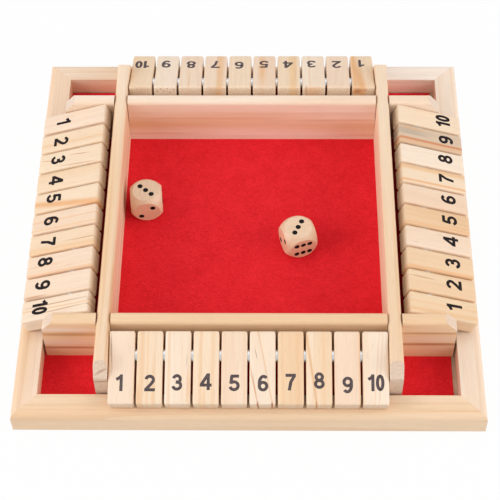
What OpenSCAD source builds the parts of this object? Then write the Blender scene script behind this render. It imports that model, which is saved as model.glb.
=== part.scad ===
// Four-player shut the box board: a mitred wooden tray, two pairs of cross-lapped
// dividers, forty numbered tiles that flip about steel rods, and two dice.
// Units are millimetres. The board stands on the XY plane, centred on the origin, +Z up.
// Each side is drawn once, as seen by the player at the front (-Y), and turned about Z.

/* [Frame] */
// Outer width and depth of the square frame
board_w = 218; // [214:1:224]
// Width of a frame rail
rail_w = 11.6; // [11.2:0.1:12]
// Height of a frame rail
rail_h = 13.6; // [13.2:0.1:14]
// Width of the flat band along the top of a rail
rail_flat = 8.2; // [7.8:0.1:8.6]
// Step down from the flat band to the rounded outer edge
rail_step = 0.3; // [0.3:0.1:0.6]
// Radius under the outer bottom edge of a rail
rail_foot = 1; // [0.6:0.1:1.4]

/* [Floor] */
// Thickness of the base board
base_t = 2; // [1.8:0.1:2.2]
// How far the base board sits above the table
base_lift = 0.3; // [0.2:0.1:0.4]
// How far the base board reaches into the rails
base_rebate = 4; // [3:0.5:5]
// Thickness of the felt lining
felt_t = 0.8; // [0.6:0.1:1]
// Strip of base board that the felt leaves bare along the right rail
felt_bare_right = 2; // [0:0.1:2.4]
// Strip of base board that the felt leaves bare along the back rail
felt_bare_back = 0.8; // [0:0.1:1.6]

/* [Dividers] */
// Width of the square rolling well between the dividers
well_w = 128.2; // [128:0.1:128.8]
// Thickness of a divider
divider_t = 6.3; // [6:0.1:6.6]
// Height of the divider tops above the table
divider_top = 32.5; // [31.5:0.1:33]
// Radius along the top edges of a divider
divider_round = 2.2; // [1.6:0.1:2.6]
// Length of the sloping cut at the end of a divider
slope_run = 5.6; // [4:0.1:7]
// Height of that sloping cut
slope_drop = 6.8; // [5:0.1:8]
// Gap between the end of a divider and the rail
divider_end_gap = 1.1; // [0.8:0.1:1.4]
// Play on each side of a divider in its cross-lap notch
notch_play = 0.3; // [0.1:0.05:0.4]

/* [Tiles] */
// Tiles on each side of the board
tile_count = 10; // [8:1:10]
// Width of a tile
tile_w = 11.8; // [11.4:0.1:12]
// Length of a tile
tile_len = 34.4; // [33.6:0.1:35]
// Thickness of a tile
tile_t = 8.6; // [8:0.1:8.8]
// Distance from the middle of the bore to the inner end
tile_heel = 10.9; // [10:0.1:11]
// Spacing of the tiles along their rod
tile_pitch = 12.85; // [12.7:0.05:12.9]
// Radius of the corners of a tile seen from above
tile_corner = 1.3; // [0.9:0.1:1.8]
// Radius that eases every edge of a tile
tile_edge = 0.7; // [0.4:0.1:0.8]
// Gap that keeps a resting tile just off the rail
tile_rest_gap = 0.05; // [0.02:0.01:0.1]
// Share of the flip shown: 0 lies on the rail, 1 leans on the divider
flip = 0; // [0:0.1:1]

/* [Rods and washers] */
// Diameter of a hinge rod
rod_d = 2.8; // [2.4:0.1:3]
// Distance of a rod from the middle of the board
rod_out = 83.8; // [83.8:0.1:84.2]
// Height of a rod above the table
rod_z = 25; // [24.8:0.05:25.2]
// Depth of the blind hole that holds each rod end
rod_seat = 4; // [3:0.5:4.5]
// Radial play of a tile on its rod
tile_play = 0.08; // [0.05:0.01:0.1]
// Diameter of a washer
washer_d = 9; // [8.4:0.1:9.2]
// Thickness of a washer
washer_t = 0.7; // [0.5:0.05:0.8]
// Radial play of a washer on its rod
washer_play = 0.1; // [0.1:0.05:0.2]

/* [Dice] */
// Edge length of a die
die_w = 15.8; // [14:0.2:16.6]
// Diameter of the ball that rounds off the corners of a die
die_ball = 20.7; // [20:0.1:22.5]
// Spacing of the pips on a die
pip_pitch = 3; // [2.6:0.1:3.1]
// Diameter of a pip at the face
pip_d = 2.6; // [2:0.1:2.8]
// Depth of a pip
pip_depth = 0.4; // [0.2:0.1:0.6]
// Place of the left die in the well
left_die_at = [-52.9, 17.8];
// Turn of the left die about Z
left_die_turn = 95; // [80:1:100]
// Place of the right die in the well
right_die_at = [23.5, -5.2];
// Turn of the right die about Z
right_die_turn = 19; // [0:1:45]

/* [Hidden] */
$fn = 48;
SIDES = ["front", "right", "back", "left"];

PINE = "#ecd0ac";
TILE_PINE = "#f2dabb";
BIRCH = "#e6cba6";
FELT = "#cf1c24";
STEEL = "#c9ccd0";
PLYWOOD = "#d9bd92";

eps = 0.01;                               // overlap that keeps a cut clear of a face
snug = 0.01;                              // radial play of a rod end in its blind hole
slack = 0.2;                              // play of the base board in its rebate
arris = 0.25;                             // easing of the sharp top edges of a rail

inner_w = board_w - 2 * rail_w;           // square opening inside the rails
rail_round = rail_w - rail_flat;          // radius of the outer edge of a rail
rail_bead_z = rail_h - rail_step - rail_round;
rebate_h = base_lift + base_t;
felt_top = rebate_h + felt_t;
divider_mid = well_w / 2 + divider_t / 2; // middle line of a divider
divider_h = divider_top - felt_top;
divider_len = inner_w - 2 * divider_end_gap;
notch_w = divider_t + 2 * notch_play;
rod_len = well_w + 2 * rod_seat;
rod_bevel = 0.4;
washer_hole_d = rod_d + 2 * washer_play;
washer_drop = washer_play - eps;          // a washer hangs on its rod
washer_bevel = 0.12;

// Rest angle: the eased lower nose of the tile touches the flat band of the rail.
tile_nose = tile_len - tile_heel;
nose_run = tile_nose - tile_edge;
nose_drop = tile_t / 2 - tile_edge;
nose_reach = sqrt(pow(nose_run, 2) + pow(nose_drop, 2));
rest_drop = rod_z - tile_edge - rail_h - tile_rest_gap;
tile_tilt = asin(rest_drop / nose_reach) - atan2(nose_drop, nose_run);

// Flipped angle: the number face leans on the rounded top of the divider.
lean_run = rod_out - (well_w / 2 + divider_t - divider_round);
lean_rise = divider_top - divider_round - rod_z;
lean_reach = sqrt(pow(lean_run, 2) + pow(lean_rise, 2));
lean_gap = 0.1;
lean_angle = atan2(lean_rise, lean_run)
    + asin((tile_t / 2 + divider_round + lean_gap) / lean_reach);
tile_travel = 180 - lean_angle + tile_tilt;

// Pip places on the faces of a die, in steps of pip_pitch across and up.
// Each face is [turn that brings it up from the top, pip places].
DIE_FACES = [
    [[0, 0, 0], [[-0.9, -0.9], [0, 0], [0.9, 0.9]]],
    [[180, 0, 0], [[-1, -1], [-1, 1], [1, -1], [1, 1]]],
    [[90, 0, 0], [[-1.1, -1], [0, -1], [1.1, -1], [-1.1, 1], [0, 1], [1.1, 1]]],
    [[-90, 0, 0], [[0, 0]]],
    [[0, -90, 0], [[-1, 1], [1, -1]]],
    [[0, 90, 0], [[-1, -1], [-1, 1], [0, 0], [1, -1], [1, 1]]]];

// ---- Outlines ----

// Rounded rectangle centred on the origin.
module soft_rect(w, h, r) {
    square([w - 2 * r, h], center = true);
    square([w, h - 2 * r], center = true);
    for (x = [-1, 1], y = [-1, 1])
        translate([x * (w / 2 - r), y * (h / 2 - r)]) circle(r);
}

// Waste outside a quarter round, for easing the corner at the origin of the +X +Y side.
module corner_waste(r) {
    difference() {
        translate([-r, -r]) square(r + eps);
        translate([-r, -r]) circle(r);
    }
}

// Section of a rail: x runs outwards from the inner face, y is height.
module rail_section() {
    difference() {
        union() {
            square([rail_flat, rail_h]);
            square([rail_w, rail_bead_z]);
            translate([rail_flat, rail_bead_z]) circle(rail_round);
        }
        translate([-eps, -eps]) square([base_rebate + eps, rebate_h + eps]);
        translate([rail_w, 0]) mirror([0, 1]) corner_waste(rail_foot);
        translate([rail_flat, rail_h]) corner_waste(arris);
        translate([0, rail_h]) mirror([1, 0]) corner_waste(arris);
    }
}

// Section of a divider, standing on the X axis.
module divider_section() {
    translate([-divider_t / 2, 0]) square([divider_t, divider_h - divider_round]);
    translate([-divider_t / 2 + divider_round, 0])
        square([divider_t - 2 * divider_round, divider_h]);
    for (x = [-1, 1])
        translate([x * (divider_t / 2 - divider_round), divider_h - divider_round])
            circle(divider_round);
}

// Side view of a divider, with a sloping cut at each end.
module divider_side() {
    half = divider_len / 2;
    polygon([
        [-half, 0], [half, 0], [half, divider_h - slope_drop], [half - slope_run, divider_h],
        [-half + slope_run, divider_h], [-half, divider_h - slope_drop]]);
}

// ---- Frame and floor ----

// Front rail: the section run along X and mitred at 45 degrees.
module rail() {
    intersection() {
        translate([0, -inner_w / 2, 0]) rotate([90, 0, -90])
            linear_extrude(board_w + 2, center = true) rail_section();
        translate([0, 0, -1]) linear_extrude(rail_h + 2)
            polygon([[0, 0], [-board_w, -board_w], [board_w, -board_w]]);
    }
}

module base_board() {
    w = inner_w + 2 * base_rebate - slack;
    color(PLYWOOD) translate([-w / 2, -w / 2, base_lift]) cube([w, w, base_t]);
}

// The felt is cut a little small and laid against the front and left rails.
module felt_lining() {
    color(FELT) translate([-inner_w / 2, -inner_w / 2, rebate_h])
        cube([inner_w - felt_bare_right, inner_w - felt_bare_back, felt_t]);
}

// ---- Dividers ----

// A divider along X, with its blind rod holes in the +Y face at the given places.
module divider_blank(hole_places) {
    difference() {
        intersection() {
            rotate([90, 0, 90]) linear_extrude(divider_len, center = true) divider_section();
            rotate([90, 0, 0]) linear_extrude(divider_t + 2, center = true) divider_side();
        }
        for (x = hole_places)
            translate([x, divider_t / 2 - rod_seat, rod_z - felt_top]) rotate([-90, 0, 0])
                cylinder(d = rod_d + 2 * snug, h = rod_seat + 1);
    }
}

// Waste of the cross-lap notches: the lower half if low is true, otherwise the upper half.
module lap_waste(low) {
    for (x = [-1, 1])
        translate([x * divider_mid - notch_w / 2, -divider_t, low ? -1 : divider_h / 2])
            cube([notch_w, 2 * divider_t, divider_h / 2 + 1]);
}

// Front and back dividers, notched from above.
module cross_divider() {
    translate([0, -divider_mid, felt_top]) difference() {
        divider_blank([-rod_out, rod_out]);
        lap_waste(false);
    }
}

// Left and right dividers, notched from below, so that they pass over the other pair.
module long_divider() {
    translate([0, -divider_mid, felt_top]) difference() {
        divider_blank([-rod_out, rod_out]);
        lap_waste(true);
    }
}

// ---- Tiles, rods and washers ----

function tile_x(k) = (k - (tile_count + 1) / 2) * tile_pitch;

// A tile with its bore along X at the origin and its nose towards -Y.
module tile_blank() {
    mid = (tile_heel - tile_nose) / 2;
    difference() {
        intersection() {
            translate([0, mid, 0]) linear_extrude(tile_t, center = true)
                soft_rect(tile_w, tile_len, tile_corner);
            translate([0, mid, 0]) rotate([90, 0, 90]) linear_extrude(tile_w, center = true)
                soft_rect(tile_len, tile_t, tile_edge);
            translate([0, mid, 0]) rotate([90, 0, 0]) linear_extrude(tile_len, center = true)
                soft_rect(tile_w, tile_t, tile_edge);
        }
        rotate([0, 90, 0]) cylinder(r = rod_d / 2 + tile_play, h = tile_w + 2, center = true);
    }
}

module tile(side, k) {
    color(TILE_PINE) rotate([0, 0, 90 * side]) translate([tile_x(k), -rod_out, rod_z])
        rotate([tile_tilt - flip * tile_travel, 0, 0]) tile_blank();
}

module rod(side) {
    r = rod_d / 2;
    half = rod_len / 2;
    color(STEEL) rotate([0, 0, 90 * side]) translate([0, -rod_out, rod_z]) rotate([0, 90, 0])
        rotate_extrude()
            polygon([
                [0, -half], [r - rod_bevel, -half], [r, -half + rod_bevel],
                [r, half - rod_bevel], [r - rod_bevel, half], [0, half]]);
}

// One washer between each pair of neighbouring tiles.
module washers(side) {
    inner = washer_hole_d / 2;
    outer = washer_d / 2;
    half = washer_t / 2;
    color(STEEL) rotate([0, 0, 90 * side])
        for (k = [1:tile_count - 1])
            translate([tile_x(k + 0.5), -rod_out, rod_z - washer_drop]) rotate([0, 90, 0])
                rotate_extrude()
                    polygon([
                        [inner, -half], [outer - washer_bevel, -half], [outer, -half + washer_bevel],
                        [outer, half - washer_bevel], [outer - washer_bevel, half], [inner, half]]);
}

// ---- Dice ----

// Dimple of one pip at the top face of a die.
module pip() {
    r = (pow(pip_d / 2, 2) + pow(pip_depth, 2)) / (2 * pip_depth);
    translate([0, 0, die_w / 2 + r - pip_depth]) sphere(r);
}

module die(at, turn) {
    color(BIRCH) translate([at[0], at[1], felt_top + die_w / 2]) rotate([0, 0, turn])
        difference() {
            intersection() {
                cube(die_w, center = true);
                sphere(d = die_ball);
            }
            for (face = DIE_FACES, place = face[1])
                rotate(face[0]) translate([place[0] * pip_pitch, place[1] * pip_pitch, 0]) pip();
        }
}

// ---- Pieces ----

color(PINE) rail();  // front_rail
color(PINE) rotate([0, 0, 90]) rail();  // right_rail
color(PINE) rotate([0, 0, 180]) rail();  // back_rail
color(PINE) rotate([0, 0, 270]) rail();  // left_rail
base_board();
felt_lining();
color(PINE) cross_divider();  // front_divider
color(PINE) rotate([0, 0, 90]) long_divider();  // right_divider
color(PINE) rotate([0, 0, 180]) cross_divider();  // back_divider
color(PINE) rotate([0, 0, 270]) long_divider();  // left_divider
for (side = [0:3]) {
    rod(side);
    washers(side);
    for (k = [1:tile_count])
        tile(side, k);
}
die(left_die_at, left_die_turn);  // left_die
die(right_die_at, right_die_turn);  // right_die
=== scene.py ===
"""Looks of a four-player shut the box board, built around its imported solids.

The tray is bare pine with a red felt floor, the tiles are sanded pine blocks with
printed numbers, and the dice are tumbled birch. Sizes are in metres, apart from the
marks in the wood and the places of the numbers, which are in millimetres.
"""

import logging
import math
import random
from collections.abc import Callable
from dataclasses import dataclass, field, replace
from enum import Enum
from functools import partial

import bpy
from mathutils import Euler, Matrix, Vector


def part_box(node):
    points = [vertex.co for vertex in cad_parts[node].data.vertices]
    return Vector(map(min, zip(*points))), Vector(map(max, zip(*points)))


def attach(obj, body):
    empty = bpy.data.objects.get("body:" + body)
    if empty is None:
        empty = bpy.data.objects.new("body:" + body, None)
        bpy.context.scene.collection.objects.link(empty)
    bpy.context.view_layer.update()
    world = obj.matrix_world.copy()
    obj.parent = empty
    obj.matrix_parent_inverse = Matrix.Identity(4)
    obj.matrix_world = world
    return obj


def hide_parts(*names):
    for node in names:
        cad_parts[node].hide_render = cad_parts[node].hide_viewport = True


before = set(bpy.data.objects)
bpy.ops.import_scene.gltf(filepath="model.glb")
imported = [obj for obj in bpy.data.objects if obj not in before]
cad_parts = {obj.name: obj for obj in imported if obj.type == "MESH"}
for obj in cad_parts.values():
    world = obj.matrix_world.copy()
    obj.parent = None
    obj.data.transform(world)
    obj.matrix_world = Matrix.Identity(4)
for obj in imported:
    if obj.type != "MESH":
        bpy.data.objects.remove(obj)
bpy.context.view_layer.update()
LOG = logging.getLogger("board")

MM = 0.001
# Points nearer than this are one point.
WELD = 1e-6
TILE_COUNT = 10
# The tiles' pitch along a rod, a rod's distance from the middle of the board and height.
PITCH = 12.85 * MM
ROD_REACH = 83.8 * MM
ROD_HEIGHT = 25 * MM
RAIL_HEIGHT = 13.6 * MM

Colour = tuple[float, float, float, float]
Stroke = list[tuple[float, float]]


class Side(Enum):
    """The four sides of the board, with the turn of each about Z in degrees."""

    FRONT = 0
    RIGHT = 90
    BACK = 180
    LEFT = 270

    @property
    def label(self) -> str:
        """The side's name as the CAD nodes use it."""
        return self.name.lower()

    @property
    def turn(self) -> Matrix:
        """Turns a piece drawn at the front to this side."""
        return Matrix.Rotation(math.radians(self.value), 4, "Z")


# ---- Small helpers ----


def linear(code: str) -> Colour:
    """Turns an sRGB hex colour to linear RGBA.

    Args:
        code: The colour as "#rrggbb".

    Returns:
        Linear red, green, blue and an alpha of 1.
    """
    parts = [int(code[i : i + 2], 16) / 255 for i in (1, 3, 5)]
    return (
        *(p / 12.92 if p <= 0.04045 else ((p + 0.055) / 1.055) ** 2.4 for p in parts),
        1.0,
    )


def grey(value: float) -> Colour:
    """A grey in linear RGBA."""
    return (value, value, value, 1.0)


# Sockets given by number: a Map Range takes 0 from the range 1 to 2 to the range 3 to 4,
# and a Mix mixes the colours 6 and 7, or the numbers 2 and 3, by 0.


def fill(node: bpy.types.Node, inputs: dict) -> None:
    """Links or sets a node's inputs.

    Args:
        node: The node.
        inputs: By name or number, a value, an output, or a node for its first output in use.
    """
    for socket, value in inputs.items():
        if isinstance(value, bpy.types.Node):
            value = next(output for output in value.outputs if output.enabled)
        if isinstance(value, bpy.types.NodeSocket):
            node.id_data.links.new(value, node.inputs[socket])
        else:
            node.inputs[socket].default_value = value


def add(
    tree: bpy.types.NodeTree, kind: str, inputs: dict | None = None, **settings: object
) -> bpy.types.Node:
    """Adds a node with its settings, and fills or links its inputs.

    Args:
        tree: The tree that gets the node.
        kind: The node's type.
        inputs: What fill takes.
        settings: The node's own settings; stops is a colour ramp's (place, colour) list.

    Returns:
        The new node.
    """
    node = tree.nodes.new(kind)
    for at, (spot, tone) in enumerate(settings.pop("stops", ())):
        ramp = node.color_ramp.elements
        stop = ramp[at] if at < 2 else ramp.new(spot)
        stop.position, stop.color = spot, tone
    for name, value in settings.items():
        setattr(node, name, value)
    fill(node, inputs or {})
    return node


def new_material(name: str) -> tuple[bpy.types.Material, Callable, bpy.types.Node]:
    """Starts a node material.

    Args:
        name: The material's name.

    Returns:
        The material, add for its tree, and its Principled shader, already linked.
    """
    material = bpy.data.materials.new(name)
    material.use_nodes = True
    tree = material.node_tree
    return material, partial(add, tree), tree.nodes["Principled BSDF"]


def wear(material: bpy.types.Material, obj: bpy.types.Object) -> None:
    """Gives an object one material all over."""
    obj.data.materials.clear()
    obj.data.materials.append(material)


def new_object(name: str, mesh: bpy.types.Mesh, material: bpy.types.Material) -> bpy.types.Object:
    """Puts a finished mesh in the scene at the origin.

    Args:
        name: The piece's name.
        mesh: The mesh, with its place in its vertices.
        material: The material that it wears all over.

    Returns:
        The new object.
    """
    mesh.name = name
    obj = bpy.data.objects.new(name, mesh)
    bpy.context.scene.collection.objects.link(obj)
    wear(material, obj)
    return obj


def report(piece: bpy.types.Object, what: str) -> None:
    """Logs a finished piece with its face count."""
    LOG.info("%s: %s, %d faces", piece.name, what, len(piece.data.polygons))


# ---- Geometry trees ----


@dataclass
class Recipe:
    """A geometry tree with named inputs, run once for each piece that it makes."""

    name: str
    sizes: dict[str, float | int | tuple]
    tree: bpy.types.NodeTree = field(init=False)
    given: bpy.types.Node = field(init=False)

    KINDS = {float: "NodeSocketFloat", int: "NodeSocketInt", tuple: "NodeSocketVector"}

    def __post_init__(self) -> None:
        """Starts the tree with a Geometry input and one input for each size."""
        self.tree = bpy.data.node_groups.new(self.name, "GeometryNodeTree")
        face = self.tree.interface
        face.new_socket("Geometry", in_out="INPUT", socket_type="NodeSocketGeometry")
        for name, value in self.sizes.items():
            socket = face.new_socket(name, in_out="INPUT", socket_type=self.KINDS[type(value)])
            socket.default_value = value
        face.new_socket("Finish", in_out="INPUT", socket_type="NodeSocketMaterial")
        face.new_socket("Geometry", in_out="OUTPUT", socket_type="NodeSocketGeometry")
        self.given = add(self.tree, "NodeGroupInput")

    def add(self, kind: str, inputs: dict | None = None, **settings: object) -> bpy.types.Node:
        """Adds a node to the tree; a text value that names an input of the tree links it.

        Args:
            kind: The node's type.
            inputs: What fill takes, or the name of a size.
            settings: The node's own settings.

        Returns:
            The new node.
        """
        given = self.given.outputs
        filled = {
            socket: given[value] if isinstance(value, str) and value in given else value
            for socket, value in (inputs or {}).items()
        }
        return add(self.tree, kind, filled, **settings)

    def wall(self, sheet: bpy.types.Node, thickness: str) -> bpy.types.Node:
        """Thickens an open sheet downwards into a closed solid.

        Args:
            sheet: The node that makes the sheet, facing up.
            thickness: The size that says how thick.

        Returns:
            The node that makes the solid.
        """
        below = self.add(
            "GeometryNodeExtrudeMesh",
            {"Mesh": sheet, "Offset": (0.0, 0.0, -1.0), "Offset Scale": thickness, "Individual": False},
        )
        turned = self.add("GeometryNodeFlipFaces", {"Mesh": sheet})
        both = self.add("GeometryNodeJoinGeometry")
        for part in (below, turned):
            fill(both, {0: part})
        welded = self.add("GeometryNodeMergeByDistance", {"Geometry": both, "Distance": WELD})
        return self.add("GeometryNodeFlipFaces", {"Mesh": welded})

    def close(self, shape: bpy.types.Node) -> None:
        """Ends the tree in Realize Instances and Set Material.

        Args:
            shape: The node that makes the finished shape.
        """
        real = self.add("GeometryNodeRealizeInstances", {"Geometry": shape})
        dressed = self.add("GeometryNodeSetMaterial", {"Geometry": real, "Material": "Finish"})
        self.add("NodeGroupOutput", {0: dressed})

    def run(
        self,
        material: bpy.types.Material,
        start: bpy.types.Mesh | None = None,
        **values: float | int | tuple,
    ) -> bpy.types.Mesh:
        """Runs the tree once.

        Args:
            material: The finish that the result wears.
            start: The mesh that the tree starts from, if it needs one.
            values: Sizes that differ from the tree's own.

        Returns:
            The result as a plain mesh.
        """
        given = {**values, "Finish": material}
        carrier = bpy.data.objects.new(self.name, start or bpy.data.meshes.new(self.name))
        bpy.context.scene.collection.objects.link(carrier)
        modifier = carrier.modifiers.new(self.name, "NODES")
        modifier.node_group = self.tree
        for item in self.tree.interface.items_tree:
            if item.in_out == "INPUT" and item.name in given:
                modifier[item.identifier] = given[item.name]
        seen = bpy.context.evaluated_depsgraph_get()
        mesh = bpy.data.meshes.new_from_object(carrier.evaluated_get(seen))
        bpy.data.objects.remove(carrier)
        return mesh


# ---- Finishes ----


@dataclass(frozen=True)
class Mark:
    """A streak, a stain or a knot: a soft ellipsoid of another colour inside the wood.

    Its place is in millimetres in the piece's own frame, whose X axis runs with the grain.
    """

    tone: str
    across: float
    width: float
    along: float = 6.0
    reach: float = 90.0
    slant: float = 0.0
    amount: float = 0.5
    through: float = 0.0
    depth: float = 60.0


@dataclass(frozen=True)
class PineFinish:
    """Pine, planed, drum sanded and left bare.

    To the eye it is pale pinkish cream with soft amber late-wood lines that run with the
    grain, finer fibre streaks between them, speckled greyer end grain, and a dull gloss.
    """

    early: str = "#F0D3B2"
    late: str = "#D9A473"
    warm: str = "#EAC49B"
    end: str = "#DEC6B4"
    resin: str = "#9C7356"
    soak: float = 0.75
    canals: float = 0.08
    ring: float = 4.0 * MM
    fibre: float = 0.5 * MM
    contrast: float = 0.3
    slope: float = 1.0
    pith: float = 60 * MM
    pith_angle: float | None = None
    # How far the rings bend and the marks sway, and how wide each bend is.
    bend: float = 2.4 * MM
    sway: float = 0.8 * MM
    bend_width: float = 9 * MM
    # Widths of the patches of strong rings, of the warmer patches, of the grid that the
    # resin canals fall on, and of the specks on cut ends.
    patch: float = 7 * MM
    cloud: float = 16 * MM
    canal_grid: float = 0.6 * MM
    speck: float = 0.5 * MM
    roughness: float = 0.55
    marks: tuple[Mark, ...] = ()

    def material(self, name: str, place: Matrix, seed: int) -> bpy.types.Material:
        """Builds the finish for one piece of timber.

        Args:
            name: The material's name.
            place: The piece's own frame, whose X axis runs with the grain.
            seed: Picks where in the log the piece was cut.

        Returns:
            The material.
        """
        dice = random.Random(seed)
        material, put, shader = new_material(name)
        seen = put("ShaderNodeTexCoord")
        turn = place.to_euler("XYZ")
        own = put(
            "ShaderNodeMapping",
            {"Vector": seen.outputs["Object"], "Location": place.to_translation(), "Rotation": turn},
            vector_type="TEXTURE",
        )
        shift = Vector([dice.uniform(-1, 1) for _ in range(3)])
        # Slow bends are about 12 times as long as wide, fibres 25 times and canals 10 times.
        long, fine, dash = (
            put("ShaderNodeMapping", {"Vector": own, "Location": shift, "Scale": (share, 1, 1)})
            for share in (0.08, 0.04, 0.1)
        )
        bend = put("ShaderNodeTexNoise", {"Vector": long, "Scale": 1 / self.bend_width, "Detail": 2.0})
        lines = self.rings(put, dice, own, long, bend)
        streak = put("ShaderNodeTexNoise", {"Vector": fine, "Scale": 1 / self.fibre, "Detail": 3.0})
        tone = put("ShaderNodeTexNoise", {"Vector": long, "Scale": 1 / self.cloud, "Detail": 1.0})
        warmth = put("ShaderNodeMapRange", {0: tone, 1: 0.45, 2: 0.75})
        # End grain: the faces that cut across the fibres drink in more and look greyer.
        facing = put(
            "ShaderNodeMapping",
            {"Vector": seen.outputs["Normal"], "Rotation": turn},
            vector_type="TEXTURE",
        )
        across = put("ShaderNodeSeparateXYZ", {0: facing})
        cut = put("ShaderNodeMath", {0: across}, operation="ABSOLUTE")
        ends = put("ShaderNodeMapRange", {0: cut, 1: 0.5, 2: 0.78})
        soaked = put("ShaderNodeMath", {0: ends, 1: self.soak}, operation="MULTIPLY")
        colour = linear(self.early)
        for amount, shown in ((warmth, self.warm), (lines, self.late), (soaked, self.end)):
            colour = put("ShaderNodeMix", {0: amount, 6: colour, 7: linear(shown)}, data_type="RGBA")
        colour = self.marked(put, own, bend, colour)
        # Resin canals: sparse dark dashes 0.3 mm wide and 3 mm long.
        canal = put("ShaderNodeTexNoise", {"Vector": dash, "Scale": 1 / self.canal_grid, "Detail": 0.0})
        pitted = put("ShaderNodeMapRange", {0: canal, 1: 0.72, 2: 0.8, 4: self.canals})
        colour = put("ShaderNodeMix", {0: pitted, 6: colour, 7: linear(self.resin)}, data_type="RGBA")
        shade = put("ShaderNodeMapRange", {0: streak, 1: 0.3, 2: 0.7, 3: 0.955, 4: 1.03})
        # Cut fibres leave specks, and square ends are sawn, so they look darker.
        speck = put("ShaderNodeTexNoise", {"Vector": own, "Scale": 1 / self.speck, "Detail": 2.0})
        dust = put("ShaderNodeMapRange", {0: speck, 1: 0.4, 2: 0.7, 3: 1.07, 4: 0.8})
        sawn = put("ShaderNodeMapRange", {0: cut, 1: 0.75, 2: 0.97, 3: 1.0, 4: 0.93})
        dull = put("ShaderNodeMath", {0: dust, 1: sawn}, operation="MULTIPLY")
        level = put("ShaderNodeMix", {0: ends, 2: shade, 3: dull})
        finished = put("ShaderNodeVectorMath", {0: colour, "Scale": level}, operation="SCALE")
        gloss = put(
            "ShaderNodeMapRange", {0: streak, 3: self.roughness - 0.06, 4: self.roughness + 0.1}
        )
        relief = put("ShaderNodeMath", {0: streak, 1: lines, 2: 0.6}, operation="MULTIPLY_ADD")
        bump = put("ShaderNodeBump", {"Height": relief, "Strength": 0.5, "Distance": 0.05 * MM})
        fill(shader, {"Base Color": finished, "Roughness": gloss, "Normal": bump, "IOR": 1.5})
        return material

    def rings(
        self,
        put: Callable,
        dice: random.Random,
        own: bpy.types.Node,
        long: bpy.types.Node,
        bend: bpy.types.Node,
    ) -> bpy.types.Node:
        """The late-wood lines, where the growth rings of a log meet the piece.

        Args:
            put: Adds a node to the material's tree.
            dice: Draws where the log's pith lies.
            own: The piece's own coordinates.
            long: The same, shortened along the grain.
            bend: The noise that bends the rings.

        Returns:
            The node that gives how strong the late wood is.
        """
        # The log: its pith runs along X, some way off the piece and a little out of line.
        angle = dice.uniform(0, math.tau) if self.pith_angle is None else math.radians(self.pith_angle)
        reach = self.pith * dice.uniform(0.7, 1.4)
        tilt = math.radians(self.slope)
        log = put(
            "ShaderNodeMapping",
            {
                "Vector": own,
                "Location": (0, reach * math.cos(angle), reach * math.sin(angle)),
                "Rotation": (0, dice.uniform(-tilt, tilt), dice.uniform(-tilt, tilt)),
            },
        )
        bent = put(
            "ShaderNodeVectorMath",
            {0: bend.outputs[1], 1: (self.bend,) * 3, 2: log},
            operation="MULTIPLY_ADD",
        )
        rings = put(
            "ShaderNodeTexWave",
            {"Vector": bent, "Scale": math.tau / 20 / self.ring},
            wave_type="RINGS",
            rings_direction="X",
            wave_profile="SAW",
        )
        shades = ((0.0, 0.12), (0.1, 0.0), (0.5, 0.1), (0.86, 0.8), (0.97, 1.0))
        late = put(
            "ShaderNodeValToRGB",
            {"Fac": rings.outputs["Fac"]},
            stops=[(spot, grey(shade)) for spot, shade in shades],
        )
        # Some rings are strong and some hardly show.
        patch = put("ShaderNodeTexNoise", {"Vector": long, "Scale": 1 / self.patch, "Detail": 1.0})
        strength = put(
            "ShaderNodeMapRange",
            {0: patch, 1: 0.35, 2: 0.68, 3: 0.25 * self.contrast, 4: self.contrast},
        )
        return put("ShaderNodeMath", {0: late, 1: strength}, operation="MULTIPLY")

    def marked(
        self, put: Callable, own: bpy.types.Node, bend: bpy.types.Node, colour: bpy.types.Node
    ) -> bpy.types.Node:
        """Lays the marks over the wood. They sway with the grain and fade along their length.

        Args:
            put: Adds a node to the material's tree.
            own: The piece's own coordinates.
            bend: The noise that they sway by.
            colour: The wood's colour.

        Returns:
            The node that gives the colour with the marks.
        """
        sway = put(
            "ShaderNodeVectorMath",
            {0: bend.outputs[1], 1: (2 * self.sway,) * 3, 2: own},
            operation="MULTIPLY_ADD",
        )
        centre = Vector((self.sway,) * 3)
        for mark in self.marks:
            spot = put(
                "ShaderNodeMapping",
                {
                    "Vector": sway,
                    "Location": Vector((mark.along, mark.across, mark.through)) * MM + centre,
                    "Rotation": (0, 0, math.atan(mark.slant)),
                    "Scale": (mark.reach * MM, mark.width * MM, mark.depth * MM),
                },
                vector_type="TEXTURE",
            )
            far = put("ShaderNodeVectorMath", {0: spot}, operation="LENGTH")
            fade = put("ShaderNodeMapRange", {0: far, 1: 0.25, 2: 1.0, 3: mark.amount, 4: 0.0})
            colour = put("ShaderNodeMix", {0: fade, 6: colour, 7: linear(mark.tone)}, data_type="RGBA")
        return colour


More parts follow.
